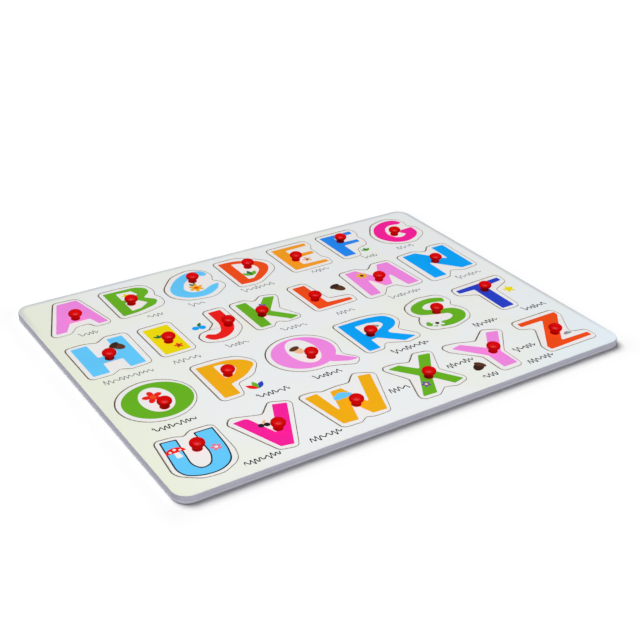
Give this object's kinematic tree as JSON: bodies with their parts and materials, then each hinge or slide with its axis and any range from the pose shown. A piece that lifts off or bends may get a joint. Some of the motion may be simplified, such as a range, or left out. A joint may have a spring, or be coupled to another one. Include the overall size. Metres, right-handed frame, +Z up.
{
  "type": "alphabet peg puzzle",
  "caption": "Flat wooden puzzle board with letter-shaped cut-outs and loose printed letters, each lifted by a red plastic peg.",
  "frame": {"origin": "middle of the board's underside", "axes": "+Z up out of the printed face, +X along the rows of letters in reading direction, +Y from the last row to the first"},
  "size_m": [0.3, 0.225, 0.0107],
  "materials": {
    "face_sheet": "white printed fibreboard, satin",
    "back_sheet": "white painted fibreboard, matt",
    "print_orchid": "printed fibreboard, satin",
    "print_green": "printed fibreboard, satin",
    "print_sky": "printed fibreboard, satin",
    "print_vermilion": "printed fibreboard, satin",
    "print_amber": "printed fibreboard, satin",
    "print_azure": "printed fibreboard, satin",
    "print_magenta": "printed fibreboard, satin",
    "print_yellow": "printed fibreboard, satin",
    "print_scarlet": "printed fibreboard, satin",
    "print_royal": "printed fibreboard, satin",
    "peg_red": "moulded plastic, glossy"
  },
  "bodies": {
    "board": {"back_board": "back_sheet", "pocket_board": "face_sheet"},
    "piece_A": {"letter_A": "print_orchid", "peg_A": "peg_red"},
    "piece_B": {"letter_B": "print_green", "peg_B": "peg_red"},
    "piece_C": {"letter_C": "print_sky", "peg_C": "peg_red"},
    "piece_D": {"letter_D": "print_vermilion", "peg_D": "peg_red"},
    "piece_E": {"letter_E": "print_amber", "peg_E": "peg_red"},
    "piece_F": {"letter_F": "print_azure", "peg_F": "peg_red"},
    "piece_G": {"letter_G": "print_magenta", "peg_G": "peg_red"},
    "piece_H": {"letter_H": "print_sky", "peg_H": "peg_red"},
    "piece_I": {"letter_I": "print_yellow", "peg_I": "peg_red"},
    "piece_J": {"letter_J": "print_scarlet", "peg_J": "peg_red"},
    "piece_K": {"letter_K": "print_green", "peg_K": "peg_red"},
    "piece_L": {"letter_L": "print_vermilion", "peg_L": "peg_red"},
    "piece_M": {"letter_M": "print_orchid", "peg_M": "peg_red"},
    "piece_N": {"letter_N": "print_azure", "peg_N": "peg_red"},
    "piece_O": {"letter_O": "print_green", "peg_O": "peg_red"},
    "piece_P": {"letter_P": "print_amber", "peg_P": "peg_red"},
    "piece_Q": {"letter_Q": "print_orchid", "peg_Q": "peg_red"},
    "piece_R": {"letter_R": "print_azure", "peg_R": "peg_red"},
    "piece_S": {"letter_S": "print_green", "peg_S": "peg_red"},
    "piece_T": {"letter_T": "print_royal", "peg_T": "peg_red"},
    "piece_U": {"letter_U": "print_sky", "peg_U": "peg_red"},
    "piece_V": {"letter_V": "print_magenta", "peg_V": "peg_red"},
    "piece_W": {"letter_W": "print_amber", "peg_W": "peg_red"},
    "piece_X": {"letter_X": "print_green", "peg_X": "peg_red"},
    "piece_Y": {"letter_Y": "print_orchid", "peg_Y": "peg_red"},
    "piece_Z": {"letter_Z": "print_vermilion", "peg_Z": "peg_red"}
  },
  "joints": [
    {"name": "lift_A", "type": "slide", "parent": "board", "child": "piece_A", "axis": [0, 0, 1], "range_m": [0, 0.03]},
    {"name": "lift_B", "type": "slide", "parent": "board", "child": "piece_B", "axis": [0, 0, 1], "range_m": [0, 0.03]},
    {"name": "lift_C", "type": "slide", "parent": "board", "child": "piece_C", "axis": [0, 0, 1], "range_m": [0, 0.03]},
    {"name": "lift_D", "type": "slide", "parent": "board", "child": "piece_D", "axis": [0, 0, 1], "range_m": [0, 0.03]},
    {"name": "lift_E", "type": "slide", "parent": "board", "child": "piece_E", "axis": [0, 0, 1], "range_m": [0, 0.03]},
    {"name": "lift_F", "type": "slide", "parent": "board", "child": "piece_F", "axis": [0, 0, 1], "range_m": [0, 0.03]},
    {"name": "lift_G", "type": "slide", "parent": "board", "child": "piece_G", "axis": [0, 0, 1], "range_m": [0, 0.03]},
    {"name": "lift_H", "type": "slide", "parent": "board", "child": "piece_H", "axis": [0, 0, 1], "range_m": [0, 0.03]},
    {"name": "lift_I", "type": "slide", "parent": "board", "child": "piece_I", "axis": [0, 0, 1], "range_m": [0, 0.03]},
    {"name": "lift_J", "type": "slide", "parent": "board", "child": "piece_J", "axis": [0, 0, 1], "range_m": [0, 0.03]},
    {"name": "lift_K", "type": "slide", "parent": "board", "child": "piece_K", "axis": [0, 0, 1], "range_m": [0, 0.03]},
    {"name": "lift_L", "type": "slide", "parent": "board", "child": "piece_L", "axis": [0, 0, 1], "range_m": [0, 0.03]},
    {"name": "lift_M", "type": "slide", "parent": "board", "child": "piece_M", "axis": [0, 0, 1], "range_m": [0, 0.03]},
    {"name": "lift_N", "type": "slide", "parent": "board", "child": "piece_N", "axis": [0, 0, 1], "range_m": [0, 0.03]},
    {"name": "lift_O", "type": "slide", "parent": "board", "child": "piece_O", "axis": [0, 0, 1], "range_m": [0, 0.03]},
    {"name": "lift_P", "type": "slide", "parent": "board", "child": "piece_P", "axis": [0, 0, 1], "range_m": [0, 0.03]},
    {"name": "lift_Q", "type": "slide", "parent": "board", "child": "piece_Q", "axis": [0, 0, 1], "range_m": [0, 0.03]},
    {"name": "lift_R", "type": "slide", "parent": "board", "child": "piece_R", "axis": [0, 0, 1], "range_m": [0, 0.03]},
    {"name": "lift_S", "type": "slide", "parent": "board", "child": "piece_S", "axis": [0, 0, 1], "range_m": [0, 0.03]},
    {"name": "lift_T", "type": "slide", "parent": "board", "child": "piece_T", "axis": [0, 0, 1], "range_m": [0, 0.03]},
    {"name": "lift_U", "type": "slide", "parent": "board", "child": "piece_U", "axis": [0, 0, 1], "range_m": [0, 0.03]},
    {"name": "lift_V", "type": "slide", "parent": "board", "child": "piece_V", "axis": [0, 0, 1], "range_m": [0, 0.03]},
    {"name": "lift_W", "type": "slide", "parent": "board", "child": "piece_W", "axis": [0, 0, 1], "range_m": [0, 0.03]},
    {"name": "lift_X", "type": "slide", "parent": "board", "child": "piece_X", "axis": [0, 0, 1], "range_m": [0, 0.03]},
    {"name": "lift_Y", "type": "slide", "parent": "board", "child": "piece_Y", "axis": [0, 0, 1], "range_m": [0, 0.03]},
    {"name": "lift_Z", "type": "slide", "parent": "board", "child": "piece_Z", "axis": [0, 0, 1], "range_m": [0, 0.03]}
  ]
}
